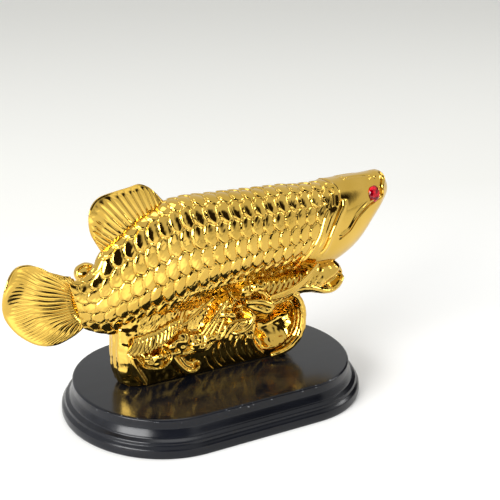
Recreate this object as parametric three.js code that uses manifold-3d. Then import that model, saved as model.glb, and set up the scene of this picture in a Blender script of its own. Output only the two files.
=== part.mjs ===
// A gilt cast statuette of an arowana over curling waves, on a black lacquered wood plinth.
// Millimetres, +Z up. The origin is the middle of the plinth's underside, the fish faces +X,
// and its right side faces -Y.
import * as THREE from "three";
import { mergeVertices } from "three/addons/utils/BufferGeometryUtils.js";
import Module from "manifold-3d";

const wasm = await Module();
wasm.setup();

// Driving dimensions.
const GAP = 0.3; // between neighbouring pieces
const PLINTH_HEIGHT = 12.9;
const PLINTH_HALF_LENGTH = 55.2; // of the top face
const PLINTH_HALF_WIDTH = 37.0;
const PLINTH_END_REACH = 31.7; // how far each rounded end runs along X
const PLINTH_SEGMENTS = 12; // of each rounded end
const FOOT = PLINTH_HEIGHT + GAP; // the casting's underside

// The plinth's moulding, from the top edge down: [out from the top face's edge, height].
const MOULDING = [
  [-0.3, 12.9],
  [0.3, 12.4],
  [0.4, 9.4],
  [1.6, 7.0],
  [1.8, 6.3],
  [3.3, 5.6],
  [3.5, 4.4],
  [4.7, 3.2],
  [4.9, 1.0],
  [4.6, 0.0],
];

// The fish in side view, tail to snout: [top x, top z, bottom x, bottom z, half width].
const STATIONS = [
  [-57.4, 57.8, -53.0, 38.6, 2.8],
  [-53.0, 57.2, -49.2, 36.4, 3.8],
  [-48.4, 59.6, -44.4, 34.4, 5.0],
  [-44.0, 66.4, -39.2, 33.4, 6.6],
  [-37.0, 72.2, -32.2, 33.4, 8.4],
  [-28.5, 77.6, -24.0, 34.4, 9.8],
  [-20.5, 81.2, -15.2, 36.2, 10.9],
  [-12.0, 82.5, -6.0, 38.6, 11.6],
  [1.0, 82.2, 3.5, 41.0, 12.0],
  [12.0, 81.9, 13.0, 42.8, 12.1],
  [23.0, 81.5, 22.0, 44.0, 12.0],
  [34.0, 81.3, 30.0, 44.6, 11.8],
  [43.5, 81.1, 37.0, 44.8, 11.5],
  [52.0, 80.9, 44.0, 44.4, 11.2],
  [59.5, 81.1, 51.4, 45.2, 10.6],
  [65.8, 81.2, 58.4, 47.8, 9.7],
  [71.2, 81.3, 64.6, 51.7, 8.3],
  [75.2, 81.6, 70.2, 57.9, 6.8],
  [77.8, 80.4, 75.5, 64.2, 5.2],
  [79.5, 77.8, 79.0, 69.0, 3.4],
  [80.7, 75.6, 80.7, 72.5, 1.6],
];
const SNOUT = new THREE.Vector3(81.1, 0, 74.1);
const KEEL = 0.3; // how much narrower the belly is than the back

// A value part way along a list, by Catmull-Rom between its entries.
function along(list, t) {
  const at = THREE.MathUtils.clamp(t, 0, 1) * (list.length - 1);
  const i = Math.min(Math.floor(at), list.length - 2);
  const [a, b, c, d] = [-1, 0, 1, 2].map(
    (k) => list[THREE.MathUtils.clamp(i + k, 0, list.length - 1)],
  );
  const f = at - i;
  return b.map(
    (p1, k) =>
      p1 +
      0.5 *
        f *
        (c[k] -
          a[k] +
          f *
            (2 * a[k] -
              5 * p1 +
              4 * c[k] -
              d[k] +
              f * (3 * (p1 - c[k]) + d[k] - a[k]))),
  );
}

const power = (x, n) => Math.sign(x) * Math.abs(x) ** n;

// A point of the fish's skin: t from tail to snout, angle from the back down its right side.
function skin(t, angle, lift = 0) {
  const [topX, topZ, bottomX, bottomZ, half] = along(STATIONS, t);
  const up = power(Math.cos(angle), 0.9);
  const side = power(Math.sin(angle), 0.85);
  const width = half * (1 - KEEL * Math.max(0, -up) ** 2);
  const axis = new THREE.Vector3(topX - bottomX, 0, topZ - bottomZ);
  const tall = axis.length() / 2;
  axis.normalize();
  const out = axis
    .clone()
    .multiplyScalar(up / tall)
    .add(new THREE.Vector3(0, -side / width, 0))
    .normalize();
  return new THREE.Vector3((topX + bottomX) / 2, 0, (topZ + bottomZ) / 2)
    .addScaledVector(axis, up * tall)
    .add(new THREE.Vector3(0, -side * width, 0))
    .addScaledVector(out, lift);
}

// Triangles from a grid of points whose rows close on themselves, with a pole at each end.
function closedLoft(rings, startPole, endPole) {
  const n = rings[0].length;
  const points = [...rings.flat(), startPole, endPole];
  const [start, end] = [points.length - 2, points.length - 1];
  const index = [];
  for (let r = 0; r + 1 < rings.length; r++)
    for (let k = 0; k < n; k++) {
      const [a, b] = [r * n + k, r * n + ((k + 1) % n)];
      index.push(a, b, a + n, b, b + n, a + n);
    }
  const last = (rings.length - 1) * n;
  for (let k = 0; k < n; k++) {
    index.push(start, (k + 1) % n, k);
    index.push(end, last + k, last + ((k + 1) % n));
  }
  return geometryOf(points, index);
}

function geometryOf(points, index) {
  return new THREE.BufferGeometry().setFromPoints(points).setIndex(index);
}

const middleOf = (ring) =>
  ring
    .reduce((sum, p) => sum.add(p), new THREE.Vector3())
    .divideScalar(ring.length);

// A thin closed sheet round a mid surface, with the same triangles on both faces.
function sheet(midPoint, halfThickness, across, out, grow) {
  const grid = [];
  for (let i = 0; i <= across; i++)
    for (let j = 0; j <= out; j++) {
      const [u, v] = [i / across, j / out];
      const step = 1e-3;
      const p = midPoint(u, v);
      const du = midPoint(Math.min(u + step, 1), v).sub(
        midPoint(Math.max(u - step, 0), v),
      );
      const dv = midPoint(u, Math.min(v + step, 1)).sub(
        midPoint(u, Math.max(v - step, 0)),
      );
      const normal = du.clone().cross(dv).normalize();
      const h = halfThickness(u, v) + grow;
      if (i === 0 || i === across)
        p.addScaledVector(du.normalize(), i ? grow : -grow);
      if (j === 0 || j === out)
        p.addScaledVector(dv.normalize(), j ? grow : -grow);
      grid.push([
        p.clone().addScaledVector(normal, h),
        p.clone().addScaledVector(normal, -h),
      ]);
    }
  const points = [...grid.map((g) => g[0]), ...grid.map((g) => g[1])];
  const back = grid.length;
  const at = (i, j) => i * (out + 1) + j;
  const index = [];
  for (let i = 0; i < across; i++)
    for (let j = 0; j < out; j++) {
      const quad = [at(i, j), at(i + 1, j), at(i + 1, j + 1), at(i, j + 1)];
      const [a, b, c, d] = quad;
      index.push(a, b, c, a, c, d);
      const [e, f, g, h] = quad.map((q) => q + back);
      index.push(e, g, f, e, h, g);
    }
  const rim = [];
  for (let i = 0; i < across; i++) rim.push(at(i, 0));
  for (let j = 0; j < out; j++) rim.push(at(across, j));
  for (let i = across; i > 0; i--) rim.push(at(i, out));
  for (let j = out; j > 0; j--) rim.push(at(0, j));
  rim.forEach((p, k) => {
    const q = rim[(k + 1) % rim.length];
    index.push(p, p + back, q, q, p + back, q + back);
  });
  return geometryOf(points, index);
}

// A tube of changing radius along a list of points, closed by a rounded tip at each end.
function horn(path, radiusAt, steps, sides, flat = 1) {
  const curve = new THREE.CatmullRomCurve3(path);
  const frames = curve.computeFrenetFrames(steps);
  const rings = [];
  for (let s = 0; s <= steps; s++) {
    const centre = curve.getPointAt(s / steps);
    const r = radiusAt(s / steps);
    rings.push(
      Array.from({ length: sides }, (_, k) => {
        const a = (2 * Math.PI * k) / sides;
        return centre
          .clone()
          .addScaledVector(frames.normals[s], Math.cos(a) * r)
          .addScaledVector(frames.binormals[s], Math.sin(a) * r * flat);
      }),
    );
  }
  const tip = (at, way, r) =>
    curve.getPointAt(at).addScaledVector(curve.getTangentAt(at), way * r * 0.6);
  return closedLoft(
    rings,
    tip(0, -1, radiusAt(0)),
    tip(1, 1, radiusAt(1)),
  );
}

function solidOf(geometry) {
  const bare = geometry.index ? geometry.toNonIndexed() : geometry.clone();
  bare.deleteAttribute("normal");
  bare.deleteAttribute("uv");
  const merged = mergeVertices(bare, 1e-4);
  const solid = new wasm.Manifold(
    new wasm.Mesh({
      numProp: 3,
      vertProperties: merged.attributes.position.array,
      triVerts: new Uint32Array(merged.index.array),
    }),
  );
  if (solid.volume() > 0) return solid;
  const turned = new Uint32Array(merged.index.array).reverse();
  return new wasm.Manifold(
    new wasm.Mesh({
      numProp: 3,
      vertProperties: merged.attributes.position.array,
      triVerts: turned,
    }),
  );
}

const joined = (...solids) => solids.reduce((a, b) => a.add(b));

const largest = (solid) =>
  solid.decompose().reduce((a, b) => (a.volume() > b.volume() ? a : b));

function meshOf(name, solid, material) {
  const { vertProperties, triVerts } = solid.getMesh();
  const geometry = new THREE.BufferGeometry()
    .setAttribute("position", new THREE.BufferAttribute(vertProperties, 3))
    .setIndex(new THREE.BufferAttribute(triVerts, 1));
  geometry.computeVertexNormals();
  const mesh = new THREE.Mesh(geometry, material);
  mesh.name = name;
  return mesh;
}

const gold = new THREE.MeshStandardMaterial({
  color: 0xd9a532,
  roughness: 0.12,
  metalness: 1,
});
const lacquer = new THREE.MeshStandardMaterial({
  color: 0x17171a,
  roughness: 0.35,
  metalness: 0,
});
const ruby = new THREE.MeshStandardMaterial({
  color: 0xc01226,
  roughness: 0.05,
  metalness: 0,
});

const statuette = new THREE.Group();

// Pieces are placed in order: each is cut clear of all those before it.
const under = solidOf(new THREE.BoxGeometry(200, 200, 40).translate(0, 0, FOOT - 20));
const cutters = [under];
function place(name, material, build) {
  const cut = cutters.reduce((s, cutter) => s.subtract(cutter), build(0));
  statuette.add(meshOf(name, largest(cut), material));
  cutters.push(build(GAP));
}

// The plinth: a long oval with a moulded edge.
function plinth() {
  const straight = PLINTH_HALF_LENGTH - PLINTH_END_REACH;
  const outline = (out, z) => {
    const ring = [];
    for (const side of [1, -1])
      for (let k = 0; k <= PLINTH_SEGMENTS; k++) {
        const a = side * (k / PLINTH_SEGMENTS - 0.5) * Math.PI;
        const [c, s] = [Math.cos(a) * side, Math.sin(a)];
        const normal = new THREE.Vector2(
          c / PLINTH_END_REACH,
          s / PLINTH_HALF_WIDTH,
        ).normalize();
        ring.push(
          new THREE.Vector3(
            side * straight + c * PLINTH_END_REACH + normal.x * out,
            s * PLINTH_HALF_WIDTH + normal.y * out,
            z,
          ),
        );
      }
    return ring;
  };
  const rings = MOULDING.map(([out, z]) => outline(out, z)).reverse();
  return solidOf(
    closedLoft(
      rings,
      new THREE.Vector3(0, 0, 0),
      new THREE.Vector3(0, 0, PLINTH_HEIGHT),
    ),
  );
}

// The smooth outside of the fish between two places along it.
function trunk(from, to, rows, sides, lift = 0) {
  const rings = [];
  for (let r = 0; r <= rows; r++) {
    const t = from + ((to - from) * r) / rows;
    rings.push(
      Array.from({ length: sides }, (_, k) =>
        skin(t, (2 * Math.PI * k) / sides, lift),
      ),
    );
  }
  return rings;
}

const shift = (ring, x) =>
  ring.map((p) => p.clone().add(new THREE.Vector3(x, 0, 0)));

// The whole fish, a little larger, to cut its neighbours with.
function envelope(lift) {
  const rings = trunk(0, 1, 34, 20, lift);
  rings[0] = shift(rings[0], -lift);
  return solidOf(
    closedLoft(
      rings,
      middleOf(rings[0]),
      SNOUT.clone().add(new THREE.Vector3(lift, 0, 0)),
    ),
  );
}

// The scales: rows around the body and columns along it, each row half a scale on from the next.
const SCALE_ROWS = 14;
const SCALE_PITCH = 4.7;
const SCALE_DEPTH = 0.6;
const SCALE_EDGE = 0.08; // half the breadth of a free edge's step, in scales
const SCALE_BEND = 0.3; // how far a scale's corners lie ahead of its free edge, in scales

// The angle at a share of the way round the widest section, and the t at a length from the tail.
const table = (f, n) => {
  const list = [0];
  for (let i = 1; i <= n; i++)
    list.push(list.at(-1) + f(i / n).distanceTo(f((i - 1) / n)));
  return list;
};
const find = (list, value) => {
  const i = Math.max(1, list.findIndex((v) => v >= value));
  return (i - 1 + (value - list[i - 1]) / (list[i] - list[i - 1])) / (list.length - 1);
};
const round = table((u) => skin(0.5, Math.PI * u), 90);
const angleAt = (share) =>
  share <= 0.5
    ? Math.PI * find(round, share * 2 * round.at(-1))
    : 2 * Math.PI - Math.PI * find(round, (1 - share) * 2 * round.at(-1));
const spine = table((u) => skin(u, Math.PI / 2), 200);

function scaledTrunk(toT) {
  const length = spine[Math.round(toT * 200)];
  const halves = Math.floor((2 * length) / SCALE_PITCH) + 1;
  const rings = [];
  for (let j = 0; j <= halves; j++)
    for (const ahead of [-1, 1]) {
      const ring = [];
      for (let row = 0; row < SCALE_ROWS; row++)
        for (const across of [0, 0.5]) {
          const edge = (row + j) % 2 === 0;
          const low = across === 0 ? 0.9 : edge ? (ahead < 0 ? 1 : 0) : 0.5;
          const bend = across === 0 ? SCALE_BEND : 0;
          const s = SCALE_PITCH * (j / 2 + bend + SCALE_EDGE * ahead);
          const t = find(spine, THREE.MathUtils.clamp(s, 1e-3, spine.at(-1)));
          const lift = -SCALE_DEPTH * low * Math.min(1, 0.4 + s / 40);
          ring.push(skin(t, angleAt((row + across) / SCALE_ROWS), lift));
        }
      rings.push(ring);
    }
  return solidOf(closedLoft(rings, middleOf(rings[0]), middleOf(rings.at(-1))));
}

// The slab between two places along the fish, square to its slanting sections.
function slab(from, to) {
  const line = (t, x) => {
    const [topX, topZ, bottomX, bottomZ] = along(STATIONS, t);
    const slope = (topX - bottomX) / (topZ - bottomZ);
    return [90, 20].map((z) => [bottomX + (z - bottomZ) * slope + x, z]);
  };
  return block([...line(from, GAP / 2), ...line(to, -GAP / 2).reverse()], -20, 20);
}

// Where the fish is parted, as shares of its length from tail to snout.
const HEAD_FROM = 12.3 / 20;
const LENGTHS = [
  ["tail_stem", 0, 3.5 / 20],
  ["rear_body", 3.5 / 20, 7 / 20],
  ["middle_body", 7 / 20, 10 / 20],
  ["front_body", 10 / 20, HEAD_FROM],
];
const TRUNK_SIDES = 20;

// The head, and its lower jaw below the slanting mouth.
const MOUTH = [
  [84, 74.2],
  [80.5, 73.4],
  [76, 71.2],
  [70, 68.2],
  [64, 64.4],
  [58.5, 60.2],
  [53.4, 57.2],
];
const JAW_REAR = [52.6, 40];

// A block that stands across the fish, from a side-view outline of [x, z] points.
function block(outline, fromY, toY) {
  const shape = new THREE.Shape(outline.map(([x, z]) => new THREE.Vector2(x, z)));
  const geometry = new THREE.ExtrudeGeometry(shape, {
    depth: toY - fromY,
    bevelEnabled: false,
  });
  geometry.rotateX(Math.PI / 2);
  geometry.translate(0, toY, 0);
  return solidOf(geometry);
}

function jawBlock(grow) {
  const line = MOUTH.map(([x, z]) => [x, z + grow]);
  const corner = [MOUTH.at(-1)[0] - grow, MOUTH.at(-1)[1] + grow];
  const rear = [JAW_REAR[0] - grow, JAW_REAR[1]];
  return block([...line, corner, rear, [86, JAW_REAR[1]]], -20, 20);
}

// The gill covers: curved plates let into the head's sides, with a bowed front edge.
const GILL_PLATE = 1.6; // thick
const GILL_FRONT = [
  [48.2, 79.0],
  [51.4, 76.5],
  [52.6, 72.0],
  [51.6, 67.0],
  [49.4, 62.2],
  [47.0, 57.0],
  [43.0, 51.0],
];
function gillRegion(side, grow) {
  const front = GILL_FRONT.map(([x, z]) => [x + grow, z]);
  const [top, low] = [79.0 + grow, 51.0 - grow];
  const ends = [[front.at(-1)[0], low], [30, low], [30, top], [front[0][0], top]];
  const [from, to] = side < 0 ? [2, 20] : [-20, -2];
  return block([...front, ...ends], from, to).subtract(envelope(-GILL_PLATE - grow));
}

function wholeHead() {
  const rings = trunk(HEAD_FROM, 1, 14, TRUNK_SIDES);
  rings[0] = shift(rings[0], GAP / 2);
  return solidOf(closedLoft(rings, middleOf(rings[0]), SNOUT));
}

// The eye: a cut stone set in the side of the head.
const EYE_AT = 16.05 / 20;
const EYE_ANGLE = 1.08;
const EYE_RADIUS = 3.35;
function eyePlace(side) {
  const p = skin(EYE_AT, EYE_ANGLE);
  const a = skin(EYE_AT + 0.02, EYE_ANGLE).sub(skin(EYE_AT - 0.02, EYE_ANGLE));
  const b = skin(EYE_AT, EYE_ANGLE + 0.1).sub(skin(EYE_AT, EYE_ANGLE - 0.1));
  const out = b.cross(a).normalize();
  if (out.y > 0) out.negate();
  p.y *= side;
  out.y *= side;
  return { p, out };
}
function stone(side, grow) {
  const profile = [
    [0, -1.6 - grow],
    [EYE_RADIUS * 0.7 + grow, -1.6 - grow],
    [EYE_RADIUS + grow, 0.25],
    [EYE_RADIUS * 0.82 + grow, 1.0],
    [EYE_RADIUS * 0.55, 1.5 + grow],
    [0, 1.5 + grow],
  ].map(([x, y]) => new THREE.Vector2(x, y));
  const geometry = new THREE.LatheGeometry(profile, 12);
  const { p, out } = eyePlace(side);
  const turn = new THREE.Quaternion().setFromUnitVectors(
    new THREE.Vector3(0, 1, 0),
    out,
  );
  geometry.applyQuaternion(turn);
  geometry.translate(p.x, p.y, p.z);
  return solidOf(geometry);
}

// A fin as a fan of rays between a root line and a rim, [x, z] in side view.
function fan({ root, rim, sideways, thick, rays }, grow, plain) {
  const curve = new THREE.SplineCurve(rim.map(([x, z]) => new THREE.Vector2(x, z)));
  const foot = new THREE.SplineCurve(root.map(([x, z]) => new THREE.Vector2(x, z)));
  const midPoint = (u, v) => {
    const [a, b] = [foot.getPointAt(u), curve.getPointAt(u)];
    const p = a.lerp(b, v);
    return new THREE.Vector3(p.x, sideways(u, v), p.y);
  };
  const across = plain ? rays : rays * 2;
  const thickness = (u, v) =>
    thick * (1 - 0.55 * v) * (plain ? 1 : Math.round(u * across) % 2 ? 1.15 : 0.7);
  return solidOf(sheet(midPoint, thickness, across, 3, grow));
}

const TAIL_FIN = {
  root: [
    [-55.2, 56.0],
    [-53.6, 49.0],
    [-51.6, 41.0],
  ],
  rim: [
    [-56.0, 58.8],
    [-63.4, 61.6],
    [-68.6, 65.2],
    [-72.0, 66.5],
    [-75.9, 66.2],
    [-79.0, 63.2],
    [-81.1, 58.6],
    [-81.7, 53.6],
    [-81.0, 48.6],
    [-78.6, 43.9],
    [-75.2, 39.9],
    [-71.2, 36.8],
    [-67.0, 35.1],
    [-62.3, 34.5],
    [-57.7, 35.8],
    [-53.0, 38.0],
  ],
  sideways: (u, v) => -1.8 * v * v * Math.sin(Math.PI * u),
  thick: 1.5,
  rays: 14,
};
const DORSAL_FIN = {
  root: [
    [-17.5, 78.0],
    [-26.0, 74.0],
    [-35.0, 69.5],
    [-42.0, 63.5],
  ],
  rim: [
    [-19.4, 81.6],
    [-22.6, 85.4],
    [-25.3, 87.6],
    [-28.3, 88.7],
    [-32.2, 88.0],
    [-38.0, 87.1],
    [-43.8, 86.0],
    [-47.2, 83.6],
    [-48.7, 79.8],
    [-48.2, 75.2],
    [-46.6, 71.2],
    [-43.8, 66.4],
  ],
  sideways: (u, v) => -0.8 * v * v,
  thick: 1.3,
  rays: 13,
};
const ANAL_FIN = {
  root: [
    [-38.5, 37.0],
    [-27.0, 37.5],
    [-14.5, 40.0],
  ],
  rim: [
    [-40.4, 28.0],
    [-35.0, 24.6],
    [-29.0, 25.0],
    [-22.0, 26.8],
    [-15.4, 31.4],
  ],
  sideways: (u, v) => -6.0 - 4.2 * v ** 0.7,
  thick: 1.1,
  rays: 11,
};

// A leaf-shaped fin along a line in space, its rays running lengthwise.
function leaf({ spine, across, width, thick, rays }, side, grow, plain) {
  const line = new THREE.CatmullRomCurve3(
    spine.map(([x, y, z]) => new THREE.Vector3(x, y * side, z)),
  );
  const way = new THREE.Vector3(across[0], across[1] * side, across[2]).normalize();
  const midPoint = (u, v) =>
    line
      .getPointAt(u)
      .addScaledVector(way, (v - 0.5) * width * (0.35 + 0.65 * Math.sin(Math.PI * (0.25 + 0.7 * u))));
  const ridges = plain ? 4 : rays * 2;
  const thickness = (u, v) =>
    thick * (1 - 0.5 * u) * (plain ? 1 : Math.round(v * ridges) % 2 ? 1.15 : 0.7);
  return solidOf(sheet(midPoint, thickness, 5, ridges, grow));
}
const PECTORAL_FIN = {
  spine: [
    [43.0, -7.5, 48.0],
    [36.0, -10.2, 44.4],
    [28.0, -11.6, 41.4],
    [19.0, -11.6, 40.2],
  ],
  across: [0.1, -0.35, 1],
  width: 6.4,
  thick: 0.6,
  rays: 5,
};
const PELVIC_FIN = {
  spine: [
    [-3.5, -6.5, 42.4],
    [-10.0, -9.0, 39.6],
    [-18.5, -10.0, 35.6],
  ],
  across: [0.3, -0.3, 1],
  width: 3.6,
  thick: 0.5,
  rays: 3,
};

// The wave under the fish: a long mound with hollows scooped out of both flanks.
const MOUND_Y = 1.0; // its middle line
const MOUND = [
  // height, left end, right end, half width
  [FOOT, -38.6, 29.0, 8.6],
  [FOOT + 1.6, -40.2, 32.5, 9.4],
  [20.0, -41.4, 37.0, 9.6],
  [27.0, -41.7, 38.4, 9.2],
  [34.0, -41.4, 38.2, 8.0],
  [41.0, -40.5, 38.0, 6.6],
  [47.0, -39.0, 36.0, 5.0],
];
const SCOOPS = [
  // middle x, z, radius along x, along z, depth
  [25.4, 26.2, 10.4, 10.6, 8.0],
  [5.5, 23.4, 6.6, 8.4, 5.0],
  [-12.6, 19.4, 6.8, 4.2, 3.6],
  [-33.6, 17.6, 2.8, 6.6, 2.2],
];
function mound() {
  const sides = 24;
  const rings = MOUND.map(([z, left, right, half]) =>
    Array.from({ length: sides }, (_, k) => {
      const angle = (2 * Math.PI * k) / sides;
      const [c, s] = [Math.cos(angle), Math.sin(angle)];
      return new THREE.Vector3(
        (left + right) / 2 + ((right - left) / 2) * power(c, 0.45),
        MOUND_Y + half * power(s, 0.8),
        z,
      );
    }),
  );
  return solidOf(
    closedLoft(rings, middleOf(rings[0]), middleOf(rings.at(-1))),
  );
}
function ball(x, y, z, rx, ry, rz) {
  const geometry = new THREE.SphereGeometry(1, 12, 7);
  geometry.rotateX(Math.PI / 2);
  geometry.scale(rx, ry, rz);
  geometry.translate(x, y, z);
  return solidOf(geometry);
}
const FRONT = -8.6; // the flank that faces -Y
const BACK = 10.6;
const scoop = ([x, z, rx, rz, depth], y) => ball(x, y, z, rx, depth, rz);

// Rolled lips of the waves, as horns along [x, y, z] paths.
const RING = [
  [14.2, -8.0, 30.5],
  [13.6, -9.6, 24.0],
  [16.6, -10.0, 17.6],
  [23.0, -9.8, 14.9],
  [30.0, -9.6, 16.4],
  [35.0, -9.2, 21.6],
  [36.6, -8.8, 28.0],
  [35.6, -8.2, 34.0],
  [33.0, -7.4, 38.4],
];
const MIDDLE_LIP = [
  [-2.2, -9.0, 23.0],
  [-1.4, -10.4, 29.0],
  [3.0, -11.0, 32.6],
  [8.6, -10.8, 32.4],
  [12.4, -9.6, 30.0],
];
const SMALL_LIP = [
  [-21.8, -8.8, 26.0],
  [-21.0, -9.8, 20.6],
  [-17.4, -10.2, 16.4],
  [-11.6, -9.6, 15.2],
];
const SMALL_TOP = [
  [-19.0, -8.6, 23.6],
  [-13.0, -9.8, 25.0],
  [-7.0, -10.2, 25.2],
  [-2.6, -9.2, 27.0],
];
// The falling water between the foam and the middle wave: ridges that slant down to the tail.
const FALL = [
  [3.6, -6.8, 42.5],
  [-0.6, -9.3, 36.0],
  [-4.8, -10.2, 32.4],
];
const FALL_STEP = 2.1;
const CURL = [
  [25.0, -8.2, 38.4],
  [19.4, -10.4, 35.0],
  [13.6, -10.8, 34.6],
  [10.4, -9.6, 37.4],
];
const lip = (path, radius, steps, flank, grow) =>
  solidOf(
    horn(
      path.map(
        ([x, y, z]) =>
          new THREE.Vector3(x, flank < 0 ? y : MOUND_Y * 2 - y, z),
      ),
      (s) => radius * (0.6 + 0.4 * Math.sin(Math.PI * s)) + grow,
      steps,
      6,
    ),
  );

// The crest that breaks under the fish's chest: [x, half width, low z, high z].
const CREST = [
  [20.0, 8.2, 36.5, 46.0],
  [30.0, 8.8, 34.8, 46.5],
  [38.0, 8.6, 34.6, 46.8],
  [45.0, 8.4, 33.8, 47.6],
  [51.0, 7.6, 33.4, 47.4],
  [56.0, 6.0, 34.0, 46.4],
  [58.8, 3.6, 35.2, 43.4],
];
const CREST_TIP = new THREE.Vector3(59.8, 0, 39.2);
function crest(grow) {
  const sides = 14;
  const rings = CREST.map(([x, half, low, high]) =>
    Array.from({ length: sides }, (_, k) => {
      const a = (2 * Math.PI * k) / sides;
      return new THREE.Vector3(
        x,
        Math.cos(a) * (half + grow),
        (low + high) / 2 + Math.sin(a) * ((high - low) / 2 + grow),
      );
    }),
  );
  const hollow = ball(53.0, -8.0, 40.0, 4.4 - grow, 3.2 - grow, 2.6 - grow);
  return solidOf(
    closedLoft(rings, middleOf(rings[0]), CREST_TIP),
  ).subtract(hollow);
}

// The crest that curls up behind the tail stem.
const REAR_CREST = [
  [-30.0, 8.0, 30.0],
  [-36.0, 11.0, 40.0],
  [-41.0, 12.6, 49.0],
  [-45.6, 12.8, 54.4],
  [-48.6, 12.0, 55.4],
];
function rearCrest(grow) {
  return solidOf(
    horn(
      REAR_CREST.map((p) => new THREE.Vector3(...p)),
      (s) => 4.6 - 0.4 * s + grow,
      8,
      10,
      0.7,
    ),
  );
}

// Foam: round lumps, [x, y, z, radius].
const FOAM = [
  [-31.6, -9.0, 24.6, 2.6],
  [-28.0, -9.8, 21.8, 2.8],
  [-24.6, -9.6, 24.6, 3.0],
];
const UPPER_FOAM = [
  [-19.0, -8.8, 29.0, 3.0],
  [-14.2, -9.4, 28.0, 2.8],
  [-9.4, -9.4, 29.4, 3.0],
  [-5.2, -9.2, 30.4, 2.4],
];
const foam = (lumps, flank, grow) =>
  joined(
    ...lumps.map(([x, y, z, r]) => {
      const geometry = new THREE.OctahedronGeometry(r + grow, 1);
      geometry.translate(x, flank < 0 ? y : MOUND_Y * 2 - y, z);
      return solidOf(geometry);
    }),
  );

const PLAIN = false;

statuette.add(meshOf("plinth", plinth(), lacquer));

const body = scaledTrunk(HEAD_FROM);
for (const [name, from, to] of LENGTHS)
  statuette.add(meshOf(name, largest(body.intersect(slab(from, to))), gold));

const stones = [-1, 1].map((side) => stone(-side, GAP));
const head = wholeHead();
const jaw = head.intersect(jawBlock(0));
const skull = [...stones, gillRegion(1, GAP), gillRegion(-1, GAP)].reduce(
  (s, cutter) => s.subtract(cutter),
  head.subtract(jawBlock(GAP)),
);
for (const [word, side] of [
  ["right", 1],
  ["left", -1],
]) {
  const plate = head.intersect(gillRegion(side, 0));
  statuette.add(meshOf("gill_cover_" + word, largest(plate), gold));
}
statuette.add(meshOf("head", largest(skull), gold));
statuette.add(meshOf("lower_jaw", largest(stones.reduce((s, e) => s.subtract(e), jaw)), gold));
statuette.add(meshOf("eye_right", stone(1, 0), ruby));
statuette.add(meshOf("eye_left", stone(-1, 0), ruby));
cutters.push(envelope(GAP));

place("tail_fin", gold, (grow) => fan(TAIL_FIN, grow, PLAIN));
place("dorsal_fin", gold, (grow) => fan(DORSAL_FIN, grow, PLAIN));
place("anal_fin", gold, (grow) => fan(ANAL_FIN, grow, PLAIN));
for (const [word, side] of [
  ["right", 1],
  ["left", -1],
]) {
  place("pectoral_fin_" + word, gold, (g) => leaf(PECTORAL_FIN, side, g, PLAIN));
  place("pelvic_fin_" + word, gold, (g) => leaf(PELVIC_FIN, side, g, PLAIN));
}
for (const [word, flank] of [
  ["front", -1],
  ["back", 1],
]) {
  place("wave_ring_" + word, gold, (g) => lip(RING, 2.3, 16, flank, g));
  place("middle_lip_" + word, gold, (g) => lip(MIDDLE_LIP, 1.8, 9, flank, g));
  place("small_lip_" + word, gold, (g) => lip(SMALL_LIP, 1.5, 7, flank, g));
  place("small_top_" + word, gold, (g) => lip(SMALL_TOP, 1.5, 7, flank, g));
  place("curl_" + word, gold, (g) => lip(CURL, 1.7, 8, flank, g));
  place("falls_" + word, gold, (g) =>
    joined(
      ...[0, 1, 2].map((k) =>
        lip(FALL.map(([x, y, z]) => [x + k * FALL_STEP, y, z]), 1.3, 6, flank, g),
      ),
    ),
  );
  place("foam_" + word, gold, (g) => foam(FOAM, flank, g));
  place("upper_foam_" + word, gold, (g) => foam(UPPER_FOAM, flank, g));
}
place("rear_crest", gold, rearCrest);
place("front_crest", gold, crest);
place("wave_base", gold, () =>
  [FRONT, BACK].reduce(
    (s, y) => SCOOPS.reduce((m, sc) => m.subtract(scoop(sc, y)), s),
    mound(),
  ),
);

export default statuette;
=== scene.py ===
"""A gilt cast statuette of an arowana over curling waves, on a black lacquered wood plinth.

Shapes are worked out in millimetres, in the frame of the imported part, and made in metres.
The fish faces +X, its right side faces -Y, and +Z is up.
"""

import math

import bpy
import numpy as np
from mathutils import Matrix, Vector


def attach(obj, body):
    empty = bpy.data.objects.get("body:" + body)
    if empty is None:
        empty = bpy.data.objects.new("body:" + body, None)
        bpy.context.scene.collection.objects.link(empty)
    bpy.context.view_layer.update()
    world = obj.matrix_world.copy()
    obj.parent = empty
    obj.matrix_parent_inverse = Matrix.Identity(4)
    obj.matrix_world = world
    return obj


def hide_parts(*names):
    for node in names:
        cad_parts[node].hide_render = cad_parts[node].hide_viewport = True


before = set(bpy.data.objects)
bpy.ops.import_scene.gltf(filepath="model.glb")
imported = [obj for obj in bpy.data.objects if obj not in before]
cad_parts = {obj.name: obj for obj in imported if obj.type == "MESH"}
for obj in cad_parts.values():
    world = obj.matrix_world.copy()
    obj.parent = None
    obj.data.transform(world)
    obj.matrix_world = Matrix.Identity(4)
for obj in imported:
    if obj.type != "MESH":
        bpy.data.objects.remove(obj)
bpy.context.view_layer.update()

MM = 0.001
FINE = 1.0  # how closely surfaces are divided

# Driving dimensions, in millimetres.
PLINTH_HEIGHT = 12.9
PLINTH_HALF_LENGTH = 55.2
PLINTH_HALF_WIDTH = 37.0
PLINTH_END_REACH = 31.7
FOOT = PLINTH_HEIGHT + 0.05  # the underside of the casting

# The plinth's moulding, from the top edge down: [out from the top face's edge, height].
MOULDING = [
    [-0.3, 12.9], [0.3, 12.4], [0.4, 9.4], [1.6, 7.0], [1.8, 6.3], [3.3, 5.6], [3.5, 4.4],
    [4.7, 3.2], [4.9, 1.0], [4.6, 0.0],
]

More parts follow.
